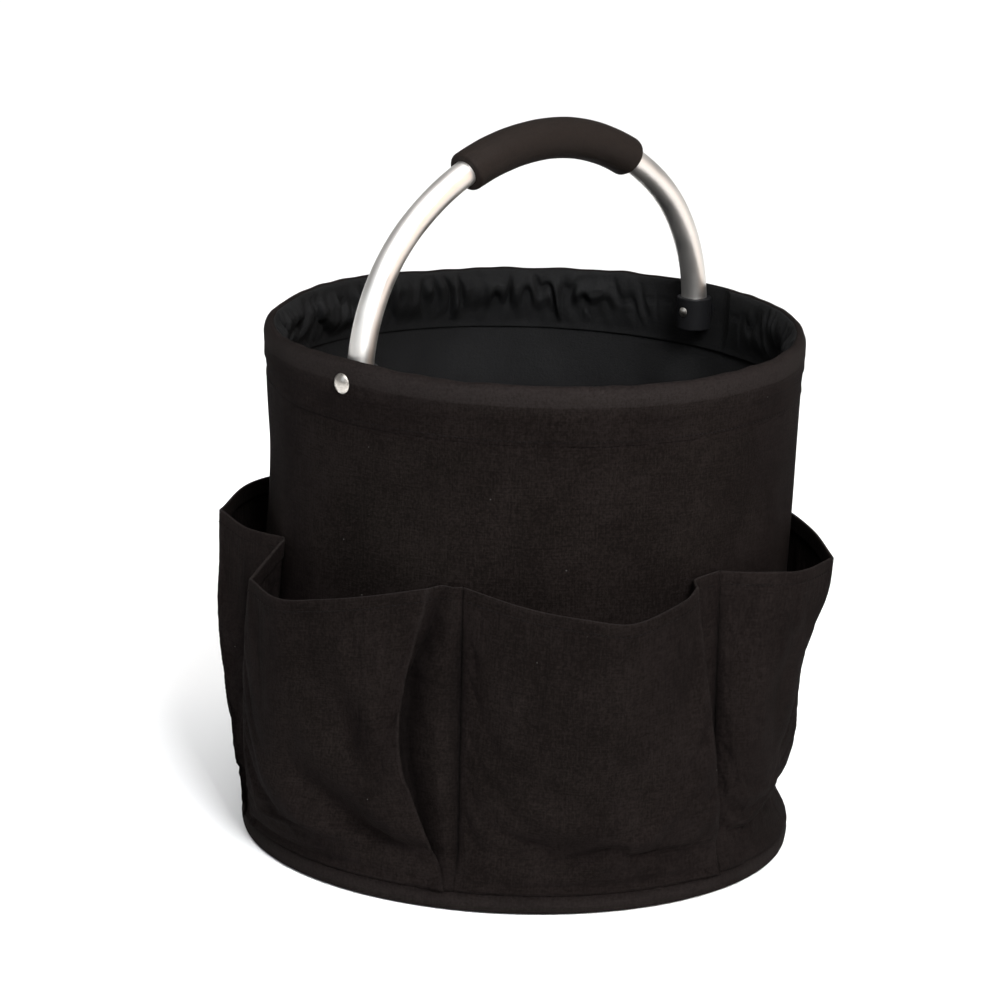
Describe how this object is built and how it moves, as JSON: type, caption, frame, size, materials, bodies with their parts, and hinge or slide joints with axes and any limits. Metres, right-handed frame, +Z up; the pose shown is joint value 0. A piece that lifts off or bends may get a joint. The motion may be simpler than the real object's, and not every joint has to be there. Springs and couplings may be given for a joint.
{
  "type": "garden tool bag",
  "caption": "Round upright black canvas garden tool bag with a hooped rim, pleated pockets all round the outside and a swinging aluminium tube handle with a foam grip.",
  "frame": {"origin": "on the ground, at the middle of the round base", "axes": "+Z up, X along the handle's pivot axis, Y across it"},
  "size_m": [0.3925, 0.3616, 0.4502],
  "materials": {
    "canvas": "black coated oxford canvas, matt with a faint sheen",
    "lining": "smooth black nylon lining",
    "hoop_plastic": "plain flat spring hoop, hidden in the rim casing",
    "splice_steel": "thin steel sleeve, hidden in the rim casing",
    "board": "stiff sheet, hidden in the base",
    "aluminium_tube": "satin anodised aluminium",
    "grip_foam": "closed-cell foam, matt black-brown",
    "socket_plastic": "fine-grained moulded nylon, black",
    "rivet_nickel": "polished nickel plate"
  },
  "bodies": {
    "bag": {"outer_wall": "canvas", "wall_foot": "canvas", "rim_casing": "canvas", "bottom_binding": "canvas", "base_fabric": "canvas", "pocket_left_rear": "canvas", "pocket_left": "canvas", "pocket_front": "canvas", "pocket_right_front": "canvas", "pocket_right": "canvas", "pocket_back": "canvas", "wall_lining": "lining", "floor_lining": "lining", "rim_hoop": "hoop_plastic", "hoop_splice": "splice_steel", "base_board": "board", "pivot_washer_left": "socket_plastic", "pivot_washer_right": "socket_plastic", "pivot_rivet_left": "rivet_nickel", "pivot_rivet_right": "rivet_nickel"},
    "handle": {"handle_tube": "aluminium_tube", "foam_grip": "grip_foam", "handle_socket_left": "socket_plastic", "handle_socket_right": "socket_plastic", "tube_plug_left": "socket_plastic", "tube_plug_right": "socket_plastic"}
  },
  "joints": [
    {"name": "handle_swing", "type": "hinge", "parent": "bag", "child": "handle", "pos_m": [0, 0, 0.31], "axis": [1, 0, 0], "range_deg": [-90, 90]}
  ]
}
